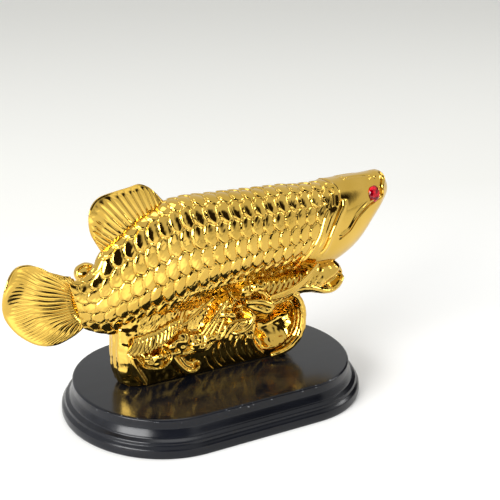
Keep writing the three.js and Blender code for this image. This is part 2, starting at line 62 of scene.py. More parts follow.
# The fish in side view, tail to snout: [top x, top z, bottom x, bottom z, half width].
STATIONS = [
    [-57.4, 57.8, -53.0, 38.6, 2.8],
    [-53.0, 57.2, -49.2, 36.4, 3.8],
    [-48.4, 59.6, -44.4, 34.4, 5.0],
    [-44.0, 66.4, -39.2, 33.4, 6.6],
    [-37.0, 72.2, -32.2, 33.4, 8.4],
    [-28.5, 77.6, -24.0, 34.4, 9.8],
    [-20.5, 81.2, -15.2, 36.2, 10.9],
    [-12.0, 82.5, -6.0, 38.6, 11.6],
    [1.0, 82.2, 3.5, 41.0, 12.0],
    [12.0, 81.9, 13.0, 42.8, 12.1],
    [23.0, 81.5, 22.0, 44.0, 12.0],
    [34.0, 81.3, 30.0, 44.6, 11.8],
    [43.5, 81.1, 37.0, 44.8, 11.5],
    [52.0, 80.9, 44.0, 44.4, 11.2],
    [59.5, 81.1, 51.4, 45.2, 10.6],
    [65.8, 81.2, 58.4, 47.8, 9.7],
    [71.2, 81.3, 64.6, 51.7, 8.3],
    [75.2, 81.6, 70.2, 57.9, 6.8],
    [77.8, 80.4, 75.5, 64.2, 5.2],
    [79.5, 77.8, 79.0, 69.0, 3.4],
    [80.7, 75.6, 80.7, 72.5, 1.6],
]
SNOUT = [81.1, 0.0, 74.1]
KEEL = 0.3  # how much narrower the belly is than the back


# Working with lists, grids and lines


def along(rows, t):
    """Values part way along a list, by Catmull-Rom between its entries."""
    rows = np.asarray(rows, float)
    at = np.clip(t, 0, 1) * (len(rows) - 1)
    i = np.minimum(at.astype(int), len(rows) - 2)
    f = (at - i)[..., None]
    a, b, c, d = (rows[np.clip(i + k, 0, len(rows) - 1)] for k in (-1, 0, 1, 2))
    bend = 2 * a - 5 * b + 4 * c - d + f * (3 * (b - c) + d - a)
    return b + 0.5 * f * (c - a + f * bend)


def power(x, n):
    return np.sign(x) * np.abs(x) ** n


def smooth_step(x, low, high):
    f = np.clip((x - low) / (high - low), 0, 1)
    return f * f * (3 - 2 * f)


def bump(x, width):
    return np.exp(-((x / width) ** 2))


def fine_line(points, count=60):
    """A smooth line through a few points."""
    return along(points, np.linspace(0, 1, count))


def line_field(x, z, points, count=60):
    """Signed distance from a line in side view, and the share along it. Left of it is positive."""
    line = fine_line(points, count)
    best = np.full(x.shape, 1e9)
    sign = np.ones(x.shape)
    share = np.zeros(x.shape)
    for k in range(count - 1):
        (ax, az), (bx, bz) = line[k], line[k + 1]
        dx, dz = bx - ax, bz - az
        f = np.clip(((x - ax) * dx + (z - az) * dz) / (dx * dx + dz * dz + 1e-12), 0, 1)
        far = np.hypot(x - ax - f * dx, z - az - f * dz)
        near = far < best
        best = np.where(near, far, best)
        turn = dx * (z - az) - dz * (x - ax)
        sign = np.where(near, np.where(turn >= 0, 1.0, -1.0), sign)
        share = np.where(near, (k + f) / (count - 1), share)
    return best * sign, share


def waves_noise(points, scale, seed, octaves=3):
    """Smooth repeatable noise in space, from a few summed sine waves in seeded directions."""
    rng = np.random.default_rng(seed)
    total = np.zeros(points.shape[:-1])
    weight = 1.0
    for octave in range(octaves):
        for _ in range(5):
            way = rng.normal(size=3)
            way *= (1.7**octave) / (scale * np.linalg.norm(way))
            total += weight * np.sin(points @ way * 2 * np.pi + rng.uniform(0, 2 * np.pi))
        weight *= 0.6
    return total / 5


# Making meshes


def make_object(name, points, faces, material, slot, smooth=True):
    mesh = bpy.data.meshes.new(name)
    mesh.from_pydata((np.asarray(points) * MM).tolist(), [], faces)
    mesh.materials.append(material)
    if smooth:
        mesh.shade_smooth()
    mesh.validate()
    piece = bpy.data.objects.new(name, mesh)
    bpy.context.scene.collection.objects.link(piece)
    return piece


def closed_loft(rings, start, end):
    """Points and faces of a tube through rings of points, with a pole at each end."""
    rows, around = rings.shape[:2]
    points = np.vstack([rings.reshape(-1, 3), [start], [end]])
    r = np.arange(rows - 1)[:, None]
    k = np.arange(around)[None, :]
    a = r * around + k
    b = r * around + (k + 1) % around
    quads = np.stack([a, b, b + around, a + around], -1).reshape(-1, 4)
    faces = quads.tolist()
    last = (rows - 1) * around
    s, e = len(points) - 2, len(points) - 1
    for k in range(around):
        faces.append([s, (k + 1) % around, k])
        faces.append([e, last + k, last + (k + 1) % around])
    return points, faces


def sheet(mid, half, across, out):
    """A thin closed sheet on both sides of a mid surface, from mid(u, v) and half(u, v)."""
    u, v = np.meshgrid(np.linspace(0, 1, across + 1), np.linspace(0, 1, out + 1), indexing="ij")
    step = 1e-3
    p = mid(u, v)
    du = mid(np.minimum(u + step, 1), v) - mid(np.maximum(u - step, 0), v)
    dv = mid(u, np.minimum(v + step, 1)) - mid(u, np.maximum(v - step, 0))
    normal = np.cross(du, dv)
    normal /= np.linalg.norm(normal, axis=-1, keepdims=True)
    h = half(u, v)[..., None]
    faces = []
    front = (p + normal * h).reshape(-1, 3)
    back = (p - normal * h).reshape(-1, 3)
    points = np.vstack([front, back])
    n = len(front)
    i = np.arange(across)[:, None]
    j = np.arange(out)[None, :]
    a = i * (out + 1) + j
    quad = np.stack([a, a + out + 1, a + out + 2, a + 1], -1).reshape(-1, 4)
    faces = quad.tolist() + (quad[:, ::-1] + n).tolist()
    rim = [i * (out + 1) for i in range(across)]
    rim += [across * (out + 1) + j for j in range(out)]
    rim += [i * (out + 1) + out for i in range(across, 0, -1)]
    rim += list(range(out, 0, -1))
    for k, p0 in enumerate(rim):
        q0 = rim[(k + 1) % len(rim)]
        faces.append([p0, p0 + n, q0 + n, q0])
    return points, faces


def tube(path, radius, steps, sides, flat=1.0):
    """A tube of changing radius along a smooth line, closed by a rounded tip at each end."""
    line = fine_line(path, steps + 1)
    tangent = np.gradient(line, axis=0)
    tangent /= np.linalg.norm(tangent, axis=1, keepdims=True)
    rings = []
    for s in range(steps + 1):
        side = np.cross(tangent[s], [0.0, 1.0, 0.0])
        side /= np.linalg.norm(side)
        other = np.cross(side, tangent[s])
        angle = np.linspace(0, 2 * np.pi, sides, endpoint=False)[:, None]
        r = radius(s / steps)
        blunt = 1.0 if flat <= 1 else 0.5
        wide = power(np.sin(angle), blunt) * r * flat
        rings.append(line[s] + side * np.cos(angle) * r + other * wide)
    start = line[0] - tangent[0] * radius(0) * 0.6
    end = line[-1] + tangent[-1] * radius(1) * 0.6
    return closed_loft(np.array(rings), start, end)


def ellipsoid(centre, radii, rows=24, around=36):
    lat = np.linspace(0.08, np.pi - 0.08, rows)[:, None]
    lon = np.linspace(0, 2 * np.pi, around, endpoint=False)[None, :]
    unit = [np.sin(lat) * np.cos(lon), np.sin(lat) * np.sin(lon), np.cos(lat) + 0 * lon]
    unit = np.stack(unit, -1)
    rings = unit * radii + centre
    top = np.array(centre) + [0, 0, radii[2]]
    low = np.array(centre) - [0, 0, radii[2]]
    return closed_loft(rings, top, low)


# Materials

NOISE_SPAN = (0.3, 0.7)  # where most of a noise node's values lie
GOLD_DEEP = (0.66, 0.42, 0.074)
GOLD_PALE = (0.73, 0.475, 0.098)
LACQUER_DEEP = (0.003, 0.0036, 0.006)
LACQUER_PALE = (0.006, 0.007, 0.011)
GLINT_SPECK = (0.25, 0.26, 0.28, 1)  # pale specks painted along the plinth's top edge, as glints of light on the lacquer
# Reds of the stone, from the middle of each patch out: painted sparkle, bright and dark patches
# standing in for light in its facets.
SPARKLE_REDS = [(0.1, (0.80, 0.01, 0.03)), (0.45, (0.55, 0.0, 0.01)), (0.8, (0.12, 0.0, 0.004))]


def new_material(name):
    material = bpy.data.materials.new(name)
    material.use_nodes = True
    tree = material.node_tree
    return material, tree, tree.nodes["Principled BSDF"]


def place_on(tree, kind="Object"):
    return tree.nodes.new("ShaderNodeTexCoord").outputs[kind]


def part_of(tree, vector, axis):
    split = tree.nodes.new("ShaderNodeSeparateXYZ")
    tree.links.new(vector, split.inputs["Vector"])
    return split.outputs[axis]


def noise_node(tree, scale, detail=3.0, stretch=(1, 1, 1)):
    mapping = tree.nodes.new("ShaderNodeMapping")
    mapping.inputs["Scale"].default_value = stretch
    tree.links.new(place_on(tree), mapping.inputs["Vector"])
    noise = tree.nodes.new("ShaderNodeTexNoise")
    noise.inputs["Scale"].default_value = scale
    noise.inputs["Detail"].default_value = detail
    tree.links.new(mapping.outputs["Vector"], noise.inputs["Vector"])
    return noise.outputs["Fac"]


def ramp_node(tree, value, stops):
    """Colours a value by a few stops of [position, colour]."""
    ramp = tree.nodes.new("ShaderNodeValToRGB")
    ends = ramp.color_ramp.elements
    for element, (position, color) in zip(ends, (stops[0], stops[-1])):
        element.position = position
        element.color = (*color, 1)
    for position, color in stops[1:-1]:
        ends.new(position).color = (*color, 1)
    tree.links.new(value, ramp.inputs["Fac"])
    return ramp.outputs["Color"]


def range_node(tree, value, start, end, low, high):
    """Turns the span from start to end of a value into low to high."""
    span = tree.nodes.new("ShaderNodeMapRange")
    ends = {"From Min": start, "From Max": end, "To Min": low, "To Max": high}
    for name, number in ends.items():
        span.inputs[name].default_value = number
    tree.links.new(value, span.inputs["Value"])
    return span.outputs["Result"]


def math_node(tree, operation, *values):
    """A sum, product or comparison of numbers and other nodes' values."""
    node = tree.nodes.new("ShaderNodeMath")
    node.operation = operation
    for socket, value in zip(node.inputs, values):
        if isinstance(value, float):
            socket.default_value = value
        else:
            tree.links.new(value, socket)
    return node.outputs["Value"]


def vector_node(tree, operation, vector, other):
    """The distance or dot product of a node's vector and a fixed one."""
    node = tree.nodes.new("ShaderNodeVectorMath")
    node.operation = operation
    tree.links.new(vector, node.inputs[0])
    node.inputs[1].default_value = other
    return node.outputs["Value"]


def bump_node(tree, value, shader, strength, distance):
    relief = tree.nodes.new("ShaderNodeBump")
    relief.inputs["Strength"].default_value = strength
    relief.inputs["Distance"].default_value = distance
    tree.links.new(value, relief.inputs["Height"])
    tree.links.new(relief.outputs["Normal"], shader.inputs["Normal"])


def gilt_material():
    """Bright gold plating over a cast body: near mirror, with faint drifts in tone and haze."""
    material, tree, shader = new_material("gilt")
    shader.inputs["Metallic"].default_value = 1.0
    tone = ramp_node(tree, noise_node(tree, 90.0), [(0.3, GOLD_DEEP), (0.7, GOLD_PALE)])
    tree.links.new(tone, shader.inputs["Base Color"])
    haze = range_node(tree, noise_node(tree, 260.0, 4.0), *NOISE_SPAN, 0.05, 0.11)
    tree.links.new(haze, shader.inputs["Roughness"])
    bump_node(tree, noise_node(tree, 700.0, 2.0), shader, 0.12, 0.12 * MM)
    return material


def lacquer_material():
    """Black lacquer brushed over wood: soft gloss, grain along the length, and painted glints
    along the top edge.
    """
    material, tree, shader = new_material("black_lacquer")
    grain = noise_node(tree, 160.0, 5.0, (0.25, 1.4, 1.4))
    tone = ramp_node(tree, grain, [(0.3, LACQUER_DEEP), (0.75, LACQUER_PALE)])
    # Painted glints: sparse pale specks in the colour, only along the top edge, stand in for
    # highlights.
    glint_noise = noise_node(tree, 1700.0, 2.0, (0.5, 0.5, 1.0))
    height = part_of(tree, place_on(tree), "Z")
    by_edge = math_node(tree, "COMPARE", height, 12.1 * MM, 0.72 * MM)
    glint_noise = math_node(tree, "MULTIPLY", glint_noise, by_edge)
    painted_glints = ramp_node(tree, glint_noise, [(0.69, (0, 0, 0)), (0.74, (1, 1, 1))])
    glint_mix = tree.nodes.new("ShaderNodeMix")
    glint_mix.data_type = "RGBA"
    tree.links.new(painted_glints, glint_mix.inputs["Factor"])
    tree.links.new(tone, glint_mix.inputs["A"])
    glint_mix.inputs["B"].default_value = GLINT_SPECK
    tree.links.new(glint_mix.outputs["Result"], shader.inputs["Base Color"])
    side_to_top = range_node(tree, height, 12.4 * MM, 12.85 * MM, 0.22, 0.17)
    drift = range_node(tree, grain, *NOISE_SPAN, -0.03, 0.04)
    rough = math_node(tree, "ADD", side_to_top, drift)
    tree.links.new(rough, shader.inputs["Roughness"])
    shader.inputs["Specular IOR Level"].default_value = 0.31
    bump_node(tree, grain, shader, 0.2, 0.2 * MM)
    return material


def stone_material():
    """Red glass with a foil back: deep red, with painted sparkle, paler and darker patches
    standing in for light caught in its facets.
    """
    material, tree, shader = new_material("red_stone")
    facets = tree.nodes.new("ShaderNodeTexVoronoi")
    facets.inputs["Scale"].default_value = 620.0
    tree.links.new(place_on(tree), facets.inputs["Vector"])
    # Painted sparkle: random bright and dark red patches stand in for light caught in the facets.
    tone = ramp_node(tree, facets.outputs["Distance"], SPARKLE_REDS)
    tree.links.new(tone, shader.inputs["Base Color"])
    shader.inputs["Roughness"].default_value = 0.06
    shader.inputs["IOR"].default_value = 1.6
    shader.inputs["Specular IOR Level"].default_value = 0.3
    return material


gilt = gilt_material()
lacquer = lacquer_material()
red_stone = stone_material()


def make_cast(name, body):
    return make_object(name, *body, gilt, "gilt")


# The fish


def skin(t, angle, lift=0.0):
    """Points of the smooth fish: t from tail to snout, angle from its back down its right side."""
    t, angle = np.broadcast_arrays(t, angle)
    top_x, top_z, low_x, low_z, half = np.moveaxis(along(STATIONS, t), -1, 0)
    up = power(np.cos(angle), 0.9)
    side = power(np.sin(angle), 0.85)
    width = half * (1 - KEEL * np.maximum(0, -up) ** 2)
    tall = np.hypot(top_x - low_x, top_z - low_z) / 2
    axis_x = (top_x - low_x) / (2 * tall)
    axis_z = (top_z - low_z) / (2 * tall)
    out = np.stack([axis_x * up / tall, -side / width, axis_z * up / tall], -1)
    out /= np.linalg.norm(out, axis=-1, keepdims=True)
    x = (top_x + low_x) / 2 + axis_x * up * tall
    z = (top_z + low_z) / 2 + axis_z * up * tall
    place = np.stack([x, -side * width, z], -1)
    return place + out * np.asarray(lift)[..., None]


SCALE_ROWS = 14
SCALE_PITCH = 4.7
SCALE_HALF = 0.64  # half a scale's height, in rows
SCALE_EDGE = 0.8  # mm that the free edge of a scale stands over its neighbours
SCALE_BEVEL = 0.15  # breadth of the rounded bevel along that edge, as a share of its size
SCALE_DOME = 0.25  # mm that the middle of a scale bulges
SCALE_FALL = 0.3  # mm that a scale sinks toward the head, under the next one
SCALE_GROOVE = 0.3  # mm, the crease pressed in along each free edge


def length_table(place, count):
    steps = np.linalg.norm(np.diff(place(np.linspace(0, 1, count + 1)), axis=0), axis=1)
    return np.concatenate([[0.0], np.cumsum(steps)])


ROUND = length_table(lambda u: skin(0.5, np.pi * u), 180)
SPINE = length_table(lambda u: skin(u, np.pi / 2), 400)


def angle_at(share):
    """The angle at a share of the way round the widest section."""
    half = np.minimum(share, 1 - share) * 2 * ROUND[-1]
    angle = np.pi * np.interp(half, ROUND, np.linspace(0, 1, len(ROUND)))
    return np.where(share <= 0.5, angle, 2 * np.pi - angle)


def scale_height(s, r):
    """Height in mm of overlapping scales at s mm from the tail and r rows from the back."""
    best = np.zeros(np.broadcast(s, r).shape)
    crease = np.zeros(best.shape)
    uneven = np.random.default_rng(5).uniform(-1, 1, (3, 64, 64))
    for step in (-1, 0, 1):
        row = np.floor(r) + step
        b = (r - row - 0.5) / SCALE_HALF
        cell = s / SCALE_PITCH - np.mod(row, 2) / 2
        first = np.floor(cell)
        for ahead in (-1, 0, 1):
            a = cell - first + ahead
            which = (np.mod(row, 64).astype(int), np.mod(first - ahead, 64).astype(int))
            round_off = np.maximum(1 - a, 0) ** 2.1 + np.abs(b) ** 2.1
            inward = 1 - round_off ** (1 / 2.1)
            near = np.clip(1 + inward / 0.09, 0, 1) * (inward < 0) * (a < 0.62)
            crease = np.maximum(crease, near)
            if ahead < 0:
                continue
            rise = 1 - np.clip(1 - inward / SCALE_BEVEL, 0, 1) ** 1.4
            lean = 0.15 * uneven[0][which] * (a - 0.5) + 0.2 * uneven[1][which] * b
            bulge = SCALE_DOME * (1 - (2 * a - 1) ** 2) - 0.12 * b * b
            height = SCALE_EDGE * rise + bulge - SCALE_FALL * a + lean + 0.08 * uneven[2][which]
            best = np.maximum(best, np.where(inward > 0, height, 0))
    return best - SCALE_GROOVE * crease


# Below this line, [x, z], foam from the waves clings to the belly.
FROTH_LINE = [
    [-46, 33.0], [-39.8, 36.6], [-31.6, 38.6], [-25.5, 40.1], [-20.8, 43.0], [-15.3, 46.8],
    [-9.0, 48.2], [3.0, 48.6], [14.0, 48.4], [26.0, 48.0], [38.0, 47.0], [48.0, 46.0],
]


def froth(points, seed):
    """Lumpy foam: crowded slanting beads a millimetre or two across."""
    x, y, z = np.moveaxis(points, -1, 0)
    turned = np.stack([(0.8 * x - 0.6 * z) * 2.2, y, (0.6 * x + 0.8 * z) * 0.8], -1)
    noise = waves_noise(turned, 4.2, seed, 2)
    return 0.55 * np.abs(noise) ** 0.9


# Lines on the head in side view, [x, z].
CHEEK_RIM = [[48.3, 80.9], [51.3, 79.6], [52.0, 77.8], [51.6, 76.0], [51.3, 74.0], [50.6, 71.5]]
GILL_SLIT = [
    [52.9, 74.6], [52.5, 72.2], [51.0, 69.9], [49.4, 67.1], [47.5, 63.8], [46.2, 60.7],
    [45.0, 57.0], [43.0, 52.5],
]
GILL_REAR = [
    [46.2, 72.0], [44.2, 68.7], [43.0, 65.6], [41.8, 61.9], [39.9, 58.0], [38.0, 54.3],
    [36.0, 50.5],
]
GILL_FOLD = [[49.6, 71.0], [47.4, 68.0], [45.6, 64.0], [44.0, 60.0], [42.0, 56.0], [40.0, 52.0]]
NAPE_FOLDS = [
    [[44.0, 80.0], [45.2, 76.6], [46.4, 73.4]],
    [[48.0, 79.4], [49.2, 76.6], [49.0, 74.2], [48.5, 72.0]],
]
MOUTH = [
    [75.4, 79.0], [74.3, 76.9], [74.0, 74.8], [73.8, 72.6], [70.5, 71.3], [66.8, 70.3],
    [63.9, 68.9], [61.1, 67.0], [59.1, 65.0], [56.2, 61.5], [52.8, 59.5], [50.4, 58.6],
]
CROWN_EDGE = [[58.2, 0.4], [58.6, 2.8], [61.3, 2.3], [66.0, 2.6], [69.0, 3.2], [70.0, 4.6]]

# Ridges and creases beside those lines: the line, the share over which it eases in and out,
# and for each ridge [how far to the left of the line, half breadth, height] in mm.
HEAD_LINES = [
    [GILL_SLIT, 0.06, 0.12, [[0.0, 0.5, -1.1], [1.3, 0.9, 0.35]]],
    [GILL_REAR, 0.1, 0.08, [[0.7, 0.4, 0.3], [-0.1, 0.35, -0.4]]],
    [GILL_FOLD, 0.2, 0.3, [[0.0, 0.45, 0.28]]],
    [CHEEK_RIM, 0.1, 0.15, [[0.1, 0.55, 0.4], [-1.2, 0.4, -0.35]]],
]
HEAD_LINES += [[fold, 0.2, 0.2, [[0.0, 0.35, -0.4]]] for fold in NAPE_FOLDS]
JAW = [[-0.9, 0.6, 0.9], [0.25, 0.42, -0.85]]  # beside the mouth line behind the eye
SNOUT_LIP = [[0.2, 0.5, -1.1], [1.7, 0.8, 0.6]]  # beside it before the eye
CROWN = [[0.0, 0.4, -0.4], [0.9, 0.6, 0.2]]  # beside the crown's edge
GILL_DROP = [0.6, 4.0]  # mm that the scales sink behind the gill covers, and over what length
JAW_HINGE = [73.3, 71.9, 0.9, 0.35]  # x, z, radius and height of a small knob
NOSTRIL = [71.6, 3.9, 1.5, 0.2]  # x, distance from the middle, radius, height
NOSTRIL_PIT = [72.4, 4.3, 0.5, -0.35]


def tapered(share, start, end):
    """1 along a line, easing to 0 at its ends."""
    return smooth_step(share, 0.0, start) * (1 - smooth_step(share, 1 - end, 1.0))


def ridges(d, marks):
    """The summed height of a few ridges along a line, d mm to its left."""
    return sum(height * bump(d - offset, breadth) for offset, breadth, height in marks)


def head_relief(x, y, z, top):
    """How far the head stands out of the smooth fish, in millimetres."""
    lift = np.zeros(x.shape)
    for line, start, end, marks in HEAD_LINES:
        d, share = line_field(x, z, line)
        lift += ridges(d, marks) * tapered(share, start, end)
    d, _ = line_field(x, z, GILL_REAR)
    lift -= GILL_DROP[0] * np.exp(-np.maximum(d, 0) / GILL_DROP[1])
    d, share = line_field(x, z, MOUTH, 120)
    lift += ridges(d, JAW) * tapered(share, 0.05, 0.1) * smooth_step(share, 0.2, 0.34)
    lift += ridges(d, SNOUT_LIP) * (1 - smooth_step(share, 0.24, 0.34))
    at_x, at_z, radius, height = JAW_HINGE
    lift += height * bump(np.hypot(x - at_x, z - at_z), radius)
    d, share = line_field(x, np.abs(y), CROWN_EDGE)
    lift += ridges(d, CROWN) * tapered(share, 0.05, 0.1) * top
    at_x, at_y, radius, height = NOSTRIL
    lift += height * bump(np.hypot(x - at_x, np.abs(y) - at_y), radius) * top
    at_x, at_y, radius, height = NOSTRIL_PIT
    lift += height * bump(np.hypot((x - at_x) / 1.6, np.abs(y) - at_y), radius) * top
    return lift


def scaled_area(x, z):
    """1 where scales cover the fish, 0 on the head."""
    d, _ = line_field(x, z, [[50.0, 84.0], [47.4, 79.0], [46.0, 74.0]] + GILL_REAR[1:])
    return smooth_step(-d, 0.2, 1.0)


def fish():
    rows = int(880 * FINE)
    around = int(540 * FINE)
    t = np.linspace(0, 1, rows)[:, None]
    share = np.linspace(0, 1, around, endpoint=False)[None, :]
    angle = angle_at(share)
    base = skin(t, angle)
    x, z = base[..., 0], base[..., 2]
    s = np.interp(t, np.linspace(0, 1, len(SPINE)), SPINE)
    height = scale_height(s, share * SCALE_ROWS)
    lift = (height - SCALE_EDGE - SCALE_DOME) * np.minimum(1, 0.4 + s / 45)
    lift += 0.035 * waves_noise(base, 2.2, 21, 2)
    wet, _ = line_field(x, z, FROTH_LINE)
    wet = smooth_step(-wet, -0.6, 0.8) * smooth_step(x, -42.0, -36.0)
    wet = wet * (1 - smooth_step(x, 38.0, 46.0))
    lift += (froth(base, 3) - 0.2 - lift) * wet
    ahead = x.max(axis=1) > 33.0
    x, y, z = (base[ahead, :, k] for k in range(3))
    top = np.where(np.cos(angle) > 0.55, 1.0, 0.0) + 0 * x
    lift[ahead] = lift[ahead] * scaled_area(x, z) + head_relief(x, y, z, top)
    rings = skin(t, angle, lift)
    return make_cast("fish", closed_loft(rings, rings[0].mean(0), SNOUT))


# Fins


def fan(name, root, rim, sideways, thick, rays, groove, scallop=0.0, forked=True):
    """A fin as a fan of ridged rays between a root line and a rim, [x, z] in side view."""
    table = np.linspace(0, 1, 400)
    curves = []
    for points in (root, rim):
        line = along(points, table)
        run = np.concatenate([[0], np.cumsum(np.linalg.norm(np.diff(line, axis=0), axis=1))])
        curves.append((line, run / run[-1]))

    def at(curve, u):
        line, run = curve
        return np.stack([np.interp(u, run, line[:, k]) for k in (0, 1)], -1)

    def mid(u, v):
        sway = u + 0.012 * np.sin(2 * np.pi * (1.3 * v + 1.7 * u)) * v * (1 - v) * 4 * forked
        sway = np.clip(sway, 0, 1)
        reach = v * (1 - scallop * (1 - np.abs(np.cos(np.pi * rays * u)) ** 0.8))
        p = at(curves[0], sway) * (1 - reach[..., None]) + at(curves[1], sway) * reach[..., None]
        ripple = 0.3 * np.sin(2 * np.pi * (2.3 * u + 0.9 * v) + 1.0) * v
        ripple += 0.15 * np.sin(2 * np.pi * (5.1 * u - 1.4 * v)) * v
        return np.stack([p[..., 0], sideways(u, v) + ripple * forked, p[..., 1]], -1)

    def half(u, v):
        ridge = np.abs(np.cos(np.pi * rays * u))
        fork = np.abs(np.cos(2 * np.pi * rays * u))
        outer = smooth_step(v, 0.45, 0.85) * forked
        ribs = (ridge * (1 - outer) + fork * outer) * (1 - 0.45 * v)
        ribs = ribs * (1 - smooth_step(v, 0.82, 0.96))
        if not forked:
            ribs = 1 - (1 - ribs) * smooth_step(v, 0.12, 0.3)
        uneven = 0.75 + 0.25 * np.sin(2 * np.pi * (3.1 * u + 0.4)) * np.sin(2 * np.pi * 7.3 * u)
        body = thick * (1 - 0.5 * v) * (1 - groove + groove * ribs * uneven)
        body = body + 0.5 * bump(v - 0.12, 0.035) * forked
        rounding = np.clip((1 - v) / 0.03, 0, 1) ** 0.5
        sides = np.clip(np.minimum(u, 1 - u) / 0.012, 0, 1) ** 0.5
        return np.maximum(body * (0.35 + 0.65 * rounding * sides), 0.25)

    return make_cast(name, sheet(mid, half, int(rays * 18 * FINE), int(100 * FINE)))


TAIL_ROOT = [[-55.2, 56.0], [-53.6, 49.0], [-51.6, 41.0]]
TAIL_RIM = [
    [-56.0, 58.8], [-63.4, 61.6], [-68.6, 65.2], [-72.0, 66.5], [-75.9, 66.2],
    [-79.0, 63.2], [-81.1, 58.6], [-81.7, 53.6], [-81.0, 48.6], [-78.6, 43.9],
    [-75.2, 39.9], [-71.2, 36.8], [-67.0, 35.1], [-62.3, 34.5], [-57.7, 35.8],
    [-53.0, 38.0],
]


def dorsal_bend(u, v):
    """The dorsal fin leans a little to its left, and its rear edge curls over to its right."""
    return 1.5 * v - 2.6 * bump(u - 0.7, 0.14) * smooth_step(v, 0.5, 1.0)


def tail_bend(u, v):
    """The tail cups to its right, and its rear edge ripples."""
    curl = 1.7 * bump(u - 0.4, 0.1) * smooth_step(v, 0.72, 1.0)
    return -1.8 * v * v * np.sin(np.pi * u) - curl


DORSAL_ROOT = [[-17.5, 78.0], [-26.0, 74.0], [-35.0, 69.5], [-42.0, 63.5]]
DORSAL_RIM = [
    [-19.4, 81.6], [-22.6, 85.4], [-25.3, 87.6], [-28.3, 88.7], [-32.2, 88.0],
    [-38.0, 87.1], [-43.8, 86.0], [-47.2, 83.6], [-48.7, 79.8], [-48.2, 75.2],
    [-46.6, 71.2], [-43.8, 66.4],
]
ANAL_ROOT = [[-36.4, 33.0], [-27.4, 34.2], [-17.2, 37.6]]
ANAL_RIM = [
    [-40.4, 29.6], [-37.4, 28.0], [-33.0, 28.0], [-28.0, 29.2], [-24.0, 30.8],
    [-19.6, 34.2],
]


def anal_bend(u, v):
    """The anal fin spreads to its right over the foam."""
    return -7.0 - 3.2 * v**0.6


def leaf(name, spine, across, width, thick, rays, side):
    """A leaf-shaped fin along a line in space, its rays running lengthwise."""
    spine = np.array(spine) * [1, side, 1]
    way = np.array(across) * [1, side, 1]
    way = way / np.linalg.norm(way)

    def mid(u, v):
        line = along(spine, u)
        broad = width * (0.35 + 0.65 * np.sin(np.pi * (0.25 + 0.7 * u)))
        return line + way * ((v - 0.5) * broad)[..., None]

    def half(u, v):
        ridge = 0.5 + 0.5 * np.cos(2 * np.pi * rays * v)
        rounding = np.clip(np.minimum(v, 1 - v) / 0.12, 0, 1) ** 0.5
        return np.maximum(thick * (1 - 0.5 * u) * (0.75 + 0.4 * ridge) * rounding, 0.22)

    return make_cast(name, sheet(mid, half, int(60 * FINE), int(rays * 16 * FINE)))


PECTORAL = [[43.0, -7.5, 48.0], [36.0, -10.2, 44.4], [28.0, -11.6, 41.4], [19.0, -11.6, 40.2]]
PELVIC = [[-3.5, -6.5, 42.4], [-10.0, -9.0, 39.6], [-18.5, -10.0, 35.6]]


# The waves

MOUND_Y = 1.0
MOUND = [
    # height, left end, right end, half width
    [FOOT, -38.6, 29.0, 8.6],
    [FOOT + 1.6, -40.2, 32.5, 9.4],
    [20.0, -41.4, 37.0, 9.6],
    [27.0, -41.7, 38.4, 9.2],
    [34.0, -41.4, 38.2, 8.0],
    [41.0, -40.5, 38.0, 6.6],
    [47.0, -39.0, 36.0, 5.0],
]

# The lip of the waves along the flank, [x, z]; the wave's face is undercut below it.
LIP = [
    [-43.0, 17.0], [-41.0, 17.3], [-39.0, 18.6], [-38.2, 21.5], [-37.9, 25.0],
    [-36.6, 25.8], [-35.0, 23.8], [-34.1, 22.0], [-31.5, 20.4], [-26.1, 19.3],
    [-23.8, 20.3], [-21.4, 22.5], [-19.4, 24.6], [-15.9, 23.2], [-13.5, 24.2], [-7.9, 23.3],
    [-5.4, 24.8], [-3.4, 26.7], [-0.6, 26.8], [0.7, 29.3], [3.7, 32.2], [7.4, 32.6],
    [11.0, 32.4], [14.5, 33.0],
]

# The ridges of the claw-like flutes under the lip: where each stands at its rearmost height.
FLUTES = [-45, -39.5, -31, -22, -13.8, -9, -3.5, -1.1]
FLUTES += [0.8, 3.4, 5.9, 8.3, 10.6, 15.5, 24, 34, 46]
FLUTE_DEPTH = [[-30, 0.1], [-10, 0.2], [-5, 0.4], [0, 0.8], [10, 1.0], [16, 0.3]]

CRESCENT = [[-21.3, 26.1], [-20.8, 22.9], [-18.6, 19.3], [-15.5, 16.2]]
CRESCENT += [[-12.3, 15.5], [-10.4, 16.9]]
SMALL_RING = [[10.4, 25.8], [12.0, 27.0], [13.4, 25.7], [12.9, 23.8], [11.2, 24.2], [10.5, 25.9]]

# Fine arcs on the dark face below the lip, [x, z].
ARCS = [
    [[5.2, 32.7], [2.1, 31.4], [0.5, 28.6], [0.2, 25.1], [2.0, 20.3], [4.5, 16.2], [6.6, 14.1]],
    [[9.3, 27.1], [6.8, 24.5], [5.9, 21.5], [6.3, 19.0], [8.0, 16.2], [10.6, 13.6]],
    [[11.0, 25.2], [10.6, 22.1], [11.4, 18.2], [13.6, 14.5]],
    [[-0.7, 24.5], [-1.1, 21.4], [0.1, 17.6], [2.1, 14.7]],
    [[-3.4, 22.7], [-3.2, 18.7], [-1.2, 15.1], [0.8, 13.4]],
    [[-6.9, 19.6], [-5.3, 15.6], [-2.9, 13.0]],
]

# Strands of water on the flank: [x, z] line, radius, and how far out they stand.
STRANDS = [
    [LIP[10:], 0.6, 10.1],
    [CRESCENT, 1.1, 10.4],
    [[[-17.8, 22.6], [-15.9, 18.9], [-12.9, 17.0]], 0.7, 9.4],
    [[[5.4, 27.3], [9.6, 28.0], [12.1, 29.9], [13.4, 32.8], [12.1, 35.0]], 1.0, 10.6],
    [[[7.6, 29.6], [10.3, 30.1], [11.2, 32.4]], 0.6, 9.6],
    [[[-37.9, 26.9], [-36.9, 23.2], [-34.8, 18.9], [-32.4, 14.8]], 0.9, 10.3],
    [SMALL_RING, 0.55, 9.6],
    [[[14.4, 30.0], [14.0, 27.0], [13.0, 23.6], [14.6, 19.6], [18.4, 15.4]], 0.8, 9.2],
]

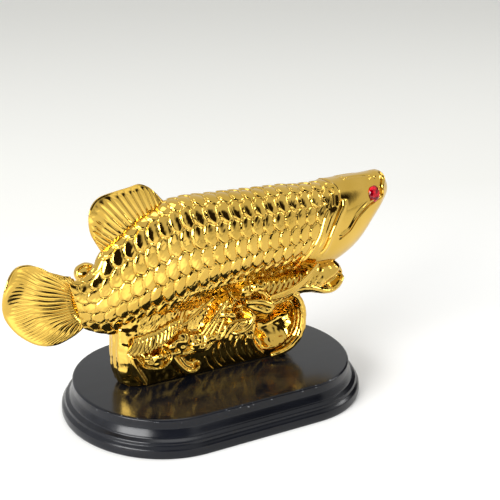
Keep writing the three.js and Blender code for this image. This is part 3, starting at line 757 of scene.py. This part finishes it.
# Falling water between the foam and the middle wave: four sharp runs, [x, z].
FALLS = [
    [[2.7, 41.8], [0.2, 37.8], [-3.1, 33.9], [-7.2, 29.2]],
    [[0.9, 40.9], [-2.0, 37.3], [-5.3, 33.7], [-8.6, 29.8]],
    [[0.2, 37.0], [-2.3, 32.9], [-5.2, 28.7]],
    [[1.0, 34.4], [-1.1, 30.4], [-2.5, 27.3]],
]

# Foam patches: middle x, z, reach along x, along z, lumps.
FOAM_PATCHES = [
    [-29.0, 23.6, 5.0, 2.6, 11],
    [-18.0, 28.4, 5.0, 2.4, 11],
    [-11.5, 26.6, 4.0, 2.2, 8],
    [-5.4, 27.8, 2.4, 1.0, 4],
    [4.0, 36.6, 3.2, 2.6, 6],
    [12.5, 43.5, 6.0, 1.8, 10],
]

BACK_STEP = 2.0  # how far the middle of the flank lies behind its ends
LIP_ROLL = [0.6, 0.7, 2.8]  # how far above the lip the roll along it lies, half breadth, height
UNDERCUT = [7.0, 8.7]  # how far out the dark face stands at its foot and under the lip
FALL_RADIUS, FALL_OUT = 0.6, 9.7

# The hollow under the breaking wave: middle x, z, radius along x, up, down, and depth.
HOLLOW = [23.4, 27.5, 10.2, 10.5, 12.6, 8.6]
SHELF = [[13.0, 29.0], [15.0, 27.8], [17.9, 25.2], [23.0, 23.4], [27.0, 24.2], [34.0, 27.5]]

CURL_LOOP = [
    [9.6, -9.6, 39.8], [12.4, -10.2, 39.6], [15.2, -10.5, 39.1], [17.8, -10.6, 38.0],
    [20.0, -10.6, 36.5], [19.6, -10.5, 35.1], [17.9, -10.4, 34.8], [15.4, -10.3, 35.9],
    [12.2, -9.8, 37.4], [10.0, -9.0, 38.6],
]
FOLD = [
    [16.8, -8.8, 42.6], [19.2, -9.6, 40.0], [21.1, -9.8, 37.7], [23.0, -9.8, 37.6],
    [25.9, -9.5, 39.3], [29.0, -9.2, 41.2],
]

# The barrel of the wave round the hollow, as [x, z] along its wall, and its rim at each side.
BARREL = [
    [31.5, 40.0], [34.6, 36.6], [36.4, 32.0], [36.6, 27.2], [35.6, 22.6], [33.4, 19.0],
    [30.0, 16.4], [25.0, 14.8],
]
RING = [
    [31.8, -8.2, 38.4], [34.4, -8.5, 35.6], [35.7, -8.8, 31.6], [35.8, -8.9, 27.2],
    [34.9, -9.1, 22.8], [32.9, -9.3, 19.4], [29.8, -9.4, 17.0], [26.0, -9.5, 15.6],
    [21.0, -9.5, 14.9],
]

# The wave behind the tail, and the knob at its tip: middle and radii.
REAR_CREST = [[-30.0, 8.0, 30.0], [-36.0, 11.0, 40.0], [-41.0, 12.6, 49.0], [-45.0, 12.4, 54.0]]
REAR_KNOB = [[-46.4, 11.0, 54.9], [4.6, 4.2, 4.2]]

# The wave that breaks under the chest.
CREST = [
    # x, half width, low z, high z, z of its rim
    [20.0, 8.2, 35.2, 46.0, 36.9],
    [27.0, 8.7, 35.4, 46.4, 37.7],
    [34.0, 8.8, 36.0, 46.8, 39.8],
    [40.0, 8.6, 35.8, 47.2, 39.0],
    [46.0, 8.2, 34.6, 47.6, 36.7],
    [51.0, 7.6, 33.8, 47.4, 36.0],
    [56.0, 6.0, 34.2, 46.4, 37.6],
    [58.8, 3.6, 35.8, 43.4, 38.8],
]


def round_side(d):
    """How far a round top has fallen, d radii from its middle; beyond its shoulder it slopes."""
    return 1 - np.sqrt(1 - np.minimum(d, 0.9) ** 2) + 3.0 * np.maximum(d - 0.9, 0)


def strand(depth, x, z, line, radius, level):
    """Lays a round strand on a flank, level mm out from the middle plane."""
    d, share = line_field(x, z, line, 30)
    r = radius * (0.45 + 0.55 * tapered(share, 0.2, 0.3))
    return np.maximum(depth, level - round_side(np.abs(d) / r) * r)


def lumps(depth, x, z, patch, seed):
    """Heaps rounded foam on a flank."""
    cx, cz, rx, rz, count = patch
    rng = np.random.default_rng(seed)
    for _ in range(count):
        way, far = rng.uniform(0, 2 * np.pi), rng.uniform(0, 1) ** 0.6
        px, pz = cx + rx * far * np.cos(way), cz + rz * far * np.sin(way)
        r = rng.uniform(1.1, 1.9)
        turn, long = rng.uniform(0, np.pi), rng.uniform(1.0, 1.6)
        along_x = (x - px) * np.cos(turn) + (z - pz) * np.sin(turn)
        along_z = -(x - px) * np.sin(turn) + (z - pz) * np.cos(turn)
        d = np.hypot(along_x / long, along_z) / r
        depth = np.maximum(depth, rng.uniform(9.4, 11.4) - round_side(d) * r)
    return depth


def scallops(flow):
    """Hollow flutes between sharp ridges: how far out of the valleys, in mm."""
    at = np.array(FLUTES, float)
    i = np.clip(np.searchsorted(at, flow) - 1, 0, len(at) - 2)
    gap = at[i + 1] - at[i]
    across = np.abs(2 * (flow - at[i]) / gap - 1)
    depth = np.interp(flow, [d[0] for d in FLUTE_DEPTH], [d[1] for d in FLUTE_DEPTH])
    return across**2 * np.minimum(1, gap / 3.6) * depth


def flank_depth(x, z, edge, seed):
    """How far the wave's flank stands from its middle plane."""
    half = np.interp(z, [m[0] for m in MOUND], [m[3] for m in MOUND])
    lip, _ = line_field(x, z, LIP, 110)
    place = np.stack([x, 0 * x + seed, z], -1)
    foam = froth(place, seed) * smooth_step(z, 30.0, 34.0) * smooth_step(x, -38.0, -34.0)
    back = BACK_STEP * smooth_step(x, -38.0, -35.0)
    back = back * (1 - smooth_step(z, 31.5, 34.0) * (1 - smooth_step(x, -18.0, -12.0)))
    above, breadth, roll = LIP_ROLL
    high = half - back + roll * bump(lip - above, breadth) * (back > 0.2) + 1.1 * foam
    under = UNDERCUT[0] + (UNDERCUT[1] - UNDERCUT[0]) * smooth_step(z, 16.0, 26.0)
    low = under + scallops(x - 0.075 * (z - 22.0) ** 2) * smooth_step(z, 13.5, 20.0)
    pillar = x < -37.0
    raised = smooth_step(lip, -0.2 - 2.4 * pillar, 0.2 + 0.8 * pillar)
    depth = low + (high - low) * raised
    for line in FALLS:
        depth = strand(depth, x, z, line, FALL_RADIUS, FALL_OUT)
    for k, patch in enumerate(FOAM_PATCHES):
        depth = lumps(depth, x, z, patch, seed + k)
    cx, cz, rx, up, down, deep = HOLLOW
    rz = np.where(z > cz, up, down)
    rho = ((x - cx) / rx) ** 2 + ((z - cz) / rz) ** 2
    shelf, _ = line_field(x, z, SHELF)
    vault = deep * np.clip(1 - rho, 0, 1) ** 0.3 * (1 - 0.85 * smooth_step(shelf, 1.0, 13.0))
    wall = 9.4 - np.where(shelf > 0, vault, deep * np.clip(1 - rho, 0, 1) ** 0.4)
    floor_out = 9.4 - deep * np.clip(1 + shelf / 9.5, 0, 1)
    rough = np.abs(waves_noise(place, 3.4, seed + 9, 2)) * smooth_step(x, 26.0, 32.0)
    floor_out = floor_out + 0.5 * waves_noise(place, 6.0, seed + 5, 2)
    bowl = np.where(shelf < 0, np.maximum(wall, floor_out), wall) + 0.35 * rough * (rho < 0.9)
    depth = np.where(rho < 1, np.minimum(depth, bowl), depth)
    for line, radius, level in STRANDS:
        depth = strand(depth, x, z, line, radius, level)
    return depth * np.clip(edge * 1.25, 0, 1)


def mound():
    rows = int(150 * FINE)
    around = int(520 * FINE)
    z = np.linspace(FOOT, 47.0, rows)[:, None]
    left = np.interp(z, [m[0] for m in MOUND], [m[1] for m in MOUND])
    right = np.interp(z, [m[0] for m in MOUND], [m[2] for m in MOUND])
    angle = np.linspace(0, 2 * np.pi, around, endpoint=False)[None, :]
    c = power(np.cos(angle), 0.7)
    x = (left + right) / 2 + (right - left) / 2 * c
    edge = np.clip(1 - np.abs(c) ** 4.44, 0, 1) ** 0.4 + 0 * z
    zz = z + 0 * x
    right_side = flank_depth(x, zz, edge, 11)
    left_side = flank_depth(x, zz, edge, 47)
    y = MOUND_Y + np.where(np.sin(angle) < 0, -right_side, left_side)
    fluted = 0.22 * np.cos(2 * np.pi * y / 3.4) * smooth_step(np.abs(c), 0.86, 0.98)
    x = x + np.sign(c) * fluted
    rings = np.stack([x, y, zz], -1)
    return closed_loft(rings, rings[0].mean(0), rings[-1].mean(0))


def crest():
    """The wave that breaks under the chest: ribbed above a rolled rim, folded in at its tip."""
    rows = int(230 * FINE)
    around = int(260 * FINE)
    line = along(CREST, np.linspace(0, 1, rows))
    angle = np.linspace(0, 2 * np.pi, around, endpoint=False)[None, :]
    at_x, half, low, high, rim = (line[:, k : k + 1] for k in range(5))
    c, s = np.cos(angle), np.sin(angle)
    z = rim + np.where(s > 0, s * (high - rim), s * (rim - low))
    above = z - rim
    rib = (1 - np.abs(np.sin(np.pi * (at_x - 1.1 * above) / 2.7))) ** 1.2
    ribbed = smooth_step(above, 0.9, 2.4) * (1 - smooth_step(at_x, 44.0, 49.0))
    tip = smooth_step(at_x, 43.0, 52.0) * (1 - smooth_step(at_x, 56.5, 58.8))
    fold = (above - 1.9 - 1.1 * tip) / (0.6 + 1.1 * tip)
    out = 0.5 * bump(above - 0.5, 1.0) - (0.6 + 2.6 * tip) * bump(fold, 1.0) + 0.75 * rib * ribbed
    y = c * half + np.sign(c) * out * np.abs(c) ** 0.5
    rings = np.stack([at_x + 0 * y, y, z], -1)
    return closed_loft(rings, rings[0].mean(0), [59.8, 0, 39.2])


def mirrored(path):
    return [[x, 2 * MOUND_Y - y, z] for x, y, z in path]


def laid_line(line, radius, level=None):
    """A fine rounded ridge lying on the flank, as a tube; level as for a strand."""
    path = fine_line(line, 16)
    x, z = path[:, 0], path[:, 1]
    depth = flank_depth(x, z, np.ones(len(x)), 11) - 0.1
    if level is not None:
        depth = np.full(len(x), level - 0.85 * radius)
    place = np.stack([x, MOUND_Y - depth, z], -1)
    return tube(place, lambda s: radius * (0.35 + 0.65 * math.sin(math.pi * s) ** 0.5), 70, 12)


def knob_curl():
    """The curl on the knob behind the tail, as a fine spiral on its open side."""
    centre, radii = REAR_KNOB
    count = 12
    turn = np.linspace(0.1, 1.75, count) * np.pi
    reach = np.linspace(0.9, 0.25, count)
    across = np.array([0.89, -0.45, 0.0])
    toward_right = np.array([-0.43, -0.85, 0.3])
    up = np.cross(across, -toward_right)
    spiral = np.cos(turn)[:, None] * across + np.sin(turn)[:, None] * up
    place = spiral * reach[:, None] + toward_right * np.sqrt(1 - reach**2)[:, None]
    return tube(np.array(centre) + place * radii, lambda s: 0.6 - 0.2 * s, 60, 12)


def joined(parts):
    points, faces = [], []
    count = 0
    for p, f in parts:
        points.append(np.asarray(p))
        faces += [[v + count for v in face] for face in f]
        count += len(p)
    return np.vstack(points), faces


def swell(radius):
    return lambda s: radius * (0.72 + 0.28 * math.sin(math.pi * s))


def waves():
    parts = [mound(), crest()]
    barrel = [[x, MOUND_Y, z] for x, z in BARREL]
    parts.append(tube(barrel, lambda s: 1.7 - 0.4 * s, 120, 120, 5.6))
    for path, radius in ((RING, 1.5), (CURL_LOOP, 1.5), (FOLD, 1.2)):
        for line in (path, mirrored(path)):
            parts.append(tube(line, swell(radius), 110, 24))
    parts.append(tube(REAR_CREST, lambda s: 4.6 - 0.4 * s, 70, 36, 0.7))
    parts.append(ellipsoid(*REAR_KNOB))
    piece = make_cast("waves", joined(parts))
    fuse(piece, 0.34 / FINE)
    soften(piece)
    return piece


def water_lines():
    """The crisp water lines of both flanks: falls, lip, strands, arcs and the knob's curl."""
    lines = [laid_line(line, FALL_RADIUS, FALL_OUT + 0.1) for line in FALLS]
    lines += [laid_line(line, radius, level) for line, radius, level in STRANDS]
    lines += [laid_line(line, 0.55) for line in ARCS]
    for points, faces in list(lines):
        turned = np.asarray(points) * [1, -1, 1] + [0, 2 * MOUND_Y, 0]
        lines.append((turned, [face[::-1] for face in faces]))
    lines.append(knob_curl())
    return make_cast("water_lines", joined(lines))


def soften(piece):
    """Small uneven swellings, as a cast surface has."""
    mesh = piece.data
    count = len(mesh.vertices)
    place = np.empty(count * 3, np.float32)
    normal = np.empty(count * 3, np.float32)
    mesh.vertices.foreach_get("co", place)
    mesh.vertex_normals.foreach_get("vector", normal)
    place = place.reshape(-1, 3)
    lift = 0.14 * waves_noise(place / MM, 5.0, 3)
    lift *= smooth_step(place[:, 2] / MM, PLINTH_HEIGHT, PLINTH_HEIGHT + 2)
    place += normal.reshape(-1, 3) * lift[:, None] * MM
    mesh.vertices.foreach_set("co", place.ravel())
    mesh.update()


def fuse(piece, voxel):
    """Joins the overlapping bodies of a piece into one skin."""
    remesh = piece.modifiers.new("fuse", "REMESH")
    remesh.mode = "VOXEL"
    remesh.voxel_size = voxel * MM
    ease = piece.modifiers.new("ease", "SMOOTH")
    ease.factor = 0.5
    ease.iterations = 3
    apply_modifiers(piece)
    piece.data.shade_smooth()


def apply_modifiers(piece):
    graph = bpy.context.evaluated_depsgraph_get()
    shown = bpy.data.meshes.new_from_object(piece.evaluated_get(graph))
    old = piece.data
    piece.modifiers.clear()
    piece.data = shown
    bpy.data.meshes.remove(old)
    if not piece.data.materials:
        piece.data.materials.append(gilt)


# The eyes

EYE_AT = 16.05 / 20
EYE_ANGLE = 1.08
EYE_RADIUS = 3.35
FACETS = 12
FACET_LEVELS = [
    # radius, height, turn in half facets
    (0.70, -1.6, 0),
    (1.00, 0.25, 0),
    (0.84, 0.85, 1),
    (0.56, 1.45, 0),
]


def eye(name, side):
    """A cut stone: a small flat table and rings of facets, sunk into the head."""
    at, angle = np.array(EYE_AT), np.array(EYE_ANGLE)
    place = skin(at, angle) * [1, side, 1]
    a = skin(at + 0.02, angle) - skin(at - 0.02, angle)
    b = skin(at, angle + 0.1) - skin(at, angle - 0.1)
    out = np.cross(b, a) * [1, side, 1]
    out /= np.linalg.norm(out)
    right = np.cross([0, 0, 1], out)
    right /= np.linalg.norm(right)
    up = np.cross(out, right)
    points = []
    for radius, height, turn in FACET_LEVELS:
        for k in range(FACETS):
            angle = 2 * math.pi * (k + turn / 2) / FACETS
            flat = right * math.cos(angle) * 0.9 + up * math.sin(angle)
            points.append(place + flat * radius * EYE_RADIUS + out * height)
    points.append(place - out * 1.6)
    points.append(place + out * 1.5)
    faces = []
    for level in range(len(FACET_LEVELS) - 1):
        shift = FACET_LEVELS[level + 1][2] - FACET_LEVELS[level][2]
        for k in range(FACETS):
            a0, a1 = (level * FACETS + (k + step) % FACETS for step in (0, 1))
            b0, b1 = a0 + FACETS, a1 + FACETS
            if shift > 0:
                faces += [[a0, a1, b0], [a1, b1, b0]]
            elif shift < 0:
                faces += [[a0, b1, b0], [a0, a1, b1]]
            else:
                faces.append([a0, a1, b1, b0])
    bottom, top = len(points) - 2, len(points) - 1
    last = (len(FACET_LEVELS) - 1) * FACETS
    for k in range(FACETS):
        after = (k + 1) % FACETS
        faces.append([bottom, after, k])
        faces.append([top, last + k, last + after])
    return make_object(name, points, faces, red_stone, "red_stone", smooth=False)


# The plinth


def plinth():
    profile = []
    for k in range(len(MOULDING) - 1):
        (a, za), (b, zb) = MOULDING[k], MOULDING[k + 1]
        for f in (0.06, 0.5, 0.94):
            profile.append([a + (b - a) * f, za + (zb - za) * f])
    profile = [[-1.2, 12.9], [-0.5, 12.88]] + profile + [[4.2, 0.0]]
    straight = PLINTH_HALF_LENGTH - PLINTH_END_REACH
    ends = 72
    rings = []
    for out, z in reversed(profile):
        ring = []
        for side in (1, -1):
            for k in range(ends + 1):
                angle = side * (k / ends - 0.5) * math.pi
                c, s = math.cos(angle) * side, math.sin(angle)
                nx, ny = c / PLINTH_END_REACH, s / PLINTH_HALF_WIDTH
                size = math.hypot(nx, ny)
                x = side * straight + c * PLINTH_END_REACH + nx / size * out
                y = s * PLINTH_HALF_WIDTH + ny / size * out
                ring.append([x, y, z])
        rings.append(ring)
    body = closed_loft(np.array(rings), [0, 0, 0], [0, 0, PLINTH_HEIGHT])
    piece = make_object("wood_plinth", *body, lacquer, "lacquered_wood")
    piece.data.set_sharp_from_angle(angle=math.radians(40))
    return piece


# Putting it together

CAD_FISH = ["tail_stem", "rear_body", "middle_body", "front_body", "head", "lower_jaw"]
CAD_FISH += ["gill_cover_right", "gill_cover_left"]
CAD_WAVES = ["wave_base", "front_crest", "rear_crest"]
WAVE_KINDS = ["wave_ring", "middle_lip", "small_lip", "small_top"]
WAVE_KINDS += ["curl", "falls", "foam", "upper_foam"]
for word in ("front", "back"):
    CAD_WAVES += [kind + "_" + word for kind in WAVE_KINDS]

pieces = [
    # each piece with the CAD nodes it takes the place of
    (fish(), CAD_FISH),
    (waves(), CAD_WAVES),
    (water_lines(), []),
    (fan("tail", TAIL_ROOT, TAIL_RIM, tail_bend, 1.5, 24, 0.34), ["tail_fin"]),
    (fan("dorsal", DORSAL_ROOT, DORSAL_RIM, dorsal_bend, 1.4, 18, 0.6, 0, False), ["dorsal_fin"]),
    (fan("anal", ANAL_ROOT, ANAL_RIM, anal_bend, 1.2, 13, 0.7, 0.1, False), ["anal_fin"]),
    (eye("stone_right", 1), ["eye_right"]),
    (eye("stone_left", -1), ["eye_left"]),
    (plinth(), ["plinth"]),
]
for word, side in (("right", 1), ("left", -1)):
    pectoral = leaf("pectoral_" + word, PECTORAL, [0.1, -0.35, 1], 4.4, 0.7, 4, side)
    pieces.append((pectoral, ["pectoral_fin_" + word]))
    pelvic = leaf("pelvic_" + word, PELVIC, [0.3, -0.3, 1], 2.4, 0.7, 1, side)
    pieces.append((pelvic, ["pelvic_fin_" + word]))
for piece, nodes in pieces:
    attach(piece, "root")
    if nodes:
        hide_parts(*nodes)


# The room: a pale floor, soft light all round, and a few dim parts for the gilt to mirror

FAR_WAY = (0.15, 0.985, 0.0)  # away from the viewer; painted shade darkens the floor that way
FLOOR_SHADE_TONES = [(0.0, (0.93, 0.93, 0.925)), (1.0, (0.85, 0.85, 0.825))]
NEAR_WAY = (-0.494, -0.869, 0.0)  # toward the viewer
LIGHT_POOL_MIDDLE = (0.005, -0.150, 0.0)  # middle of the painted pool of light on the floor, where it glows, in metres
ROOM_TONES = [(0.0, (0.02, 0.014, 0.012)), (1.0, (0.82, 0.82, 0.80))]

# Directions from the statuette, in degrees round (0 at +X) and up: the dim parts of the room
# [round, up, half breadth, tallness], and its brightest part.
DIM_PARTS = [[-123, 13, 36, 0.95], [-58, 25, 12, 1.9], [18, 10, 20, 1.3]]
BRIGHT_ROUND, BRIGHT_UP = -82, -21

BOXES = [
    # name, place, breadth and height, watts
    ["left_box", (-1.15, -0.42, 0.5), (0.8, 0.6), 22.0],
    ["top_box", (0.1, 0.1, 1.5), (0.6, 0.6), 3.0],
    ["right_box", (1.3, -0.3, 0.7), (0.25, 0.4), 2.5],
]
BOX_TARGET = (0, 0, 0.05)

CAMERA_AT = (-0.16361, -0.31753, 0.17920)
CAMERA_TARGET = (0.10048, 0.14736, 0.0)
LENS = 71.49


def floor():
    """A pale table, with painted shade dimming it beyond the statuette and a painted pool of light
    glowing in front of it.
    """
    material, tree, shader = new_material("pale_floor")
    place = place_on(tree)
    # Painted shade: the floor's colour darkens away from the viewer, beyond the statuette.
    far = vector_node(tree, "DOT_PRODUCT", place, FAR_WAY)
    tone = ramp_node(tree, range_node(tree, far, 0.08, 0.25, 0.0, 1.0), FLOOR_SHADE_TONES)
    tree.links.new(tone, shader.inputs["Base Color"])
    shader.inputs["Roughness"].default_value = 0.6
    # Painted light: the floor glows in a patch in front of the statuette, standing in for a pool
    # of light.
    away = vector_node(tree, "DISTANCE", place, LIGHT_POOL_MIDDLE)
    near = vector_node(tree, "DOT_PRODUCT", place, NEAR_WAY)
    light_pool = range_node(tree, away, 0.05, 0.12, 1.0, 0.0)
    light_pool = math_node(tree, "MULTIPLY", light_pool, range_node(tree, near, 0.085, 0.105, 0.0, 1.0))
    shader.inputs["Emission Color"].default_value = (1, 1, 1, 1)
    tree.links.new(light_pool, shader.inputs["Emission Strength"])
    size = 6000
    corners = [[-size, -size, 0], [size, -size, 0], [size, size, 0], [-size, size, 0]]
    piece = make_object("floor", corners, [[0, 1, 2, 3]], material, None)


def toward(tree, place, round_way, up, tallness):
    """How squarely a direction in the room faces a given one: 1 when it is the same."""
    turned = tree.nodes.new("ShaderNodeMapping")
    turned.vector_type = "TEXTURE"
    turned.inputs["Rotation"].default_value = (0, math.radians(-up), math.radians(round_way))
    turned.inputs["Scale"].default_value = (1, 1, tallness)
    tree.links.new(place, turned.inputs["Vector"])
    unit = tree.nodes.new("ShaderNodeVectorMath")
    unit.operation = "NORMALIZE"
    tree.links.new(turned.outputs["Vector"], unit.inputs[0])
    return part_of(tree, unit.outputs["Vector"], "X")


def room_light():
    world = bpy.data.worlds.new("studio")
    bpy.context.scene.world = world
    world.use_nodes = True
    tree = world.node_tree
    background = tree.nodes["Background"]
    place = place_on(tree, "Generated")
    light = 1.0
    for round_way, up, half_breadth, tallness in DIM_PARTS:
        facing = toward(tree, place, round_way, up, tallness)
        edge = [math.cos(math.radians(half_breadth + soft)) for soft in (3, -3)]
        light = math_node(tree, "MULTIPLY", light, range_node(tree, facing, *edge, 1.0, 0.0))
    tree.links.new(ramp_node(tree, light, ROOM_TONES), background.inputs["Color"])
    facing = toward(tree, place, BRIGHT_ROUND, BRIGHT_UP, 1)
    glow = range_node(tree, facing, 0.75, 0.95, 1.0, 2.0)
    tree.links.new(glow, background.inputs["Strength"])


def aim(thing, place, target):
    """Stands a light or the camera at a place, turned toward a target."""
    thing.location = place
    way = Vector(target) - Vector(place)
    thing.rotation_euler = way.to_track_quat("-Z", "Y").to_euler()
    bpy.context.scene.collection.objects.link(thing)


def soft_light(name, place, size, watts):
    data = bpy.data.lights.new(name, "AREA")
    data.shape = "RECTANGLE"
    data.size, data.size_y = size
    data.energy = watts
    aim(bpy.data.objects.new(name, data), place, BOX_TARGET)


def camera():
    """The camera stands to the tail side of the front and looks a little down."""
    data = bpy.data.cameras.new("camera")
    data.sensor_width = 36.0
    data.lens = LENS
    data.clip_start = 0.01
    data.clip_end = 50.0
    view = bpy.data.objects.new("camera", data)
    aim(view, CAMERA_AT, CAMERA_TARGET)
    bpy.context.scene.camera = view


floor()
room_light()
for box in BOXES:
    soft_light(*box)
camera()
bpy.context.scene.view_settings.view_transform = "Standard"
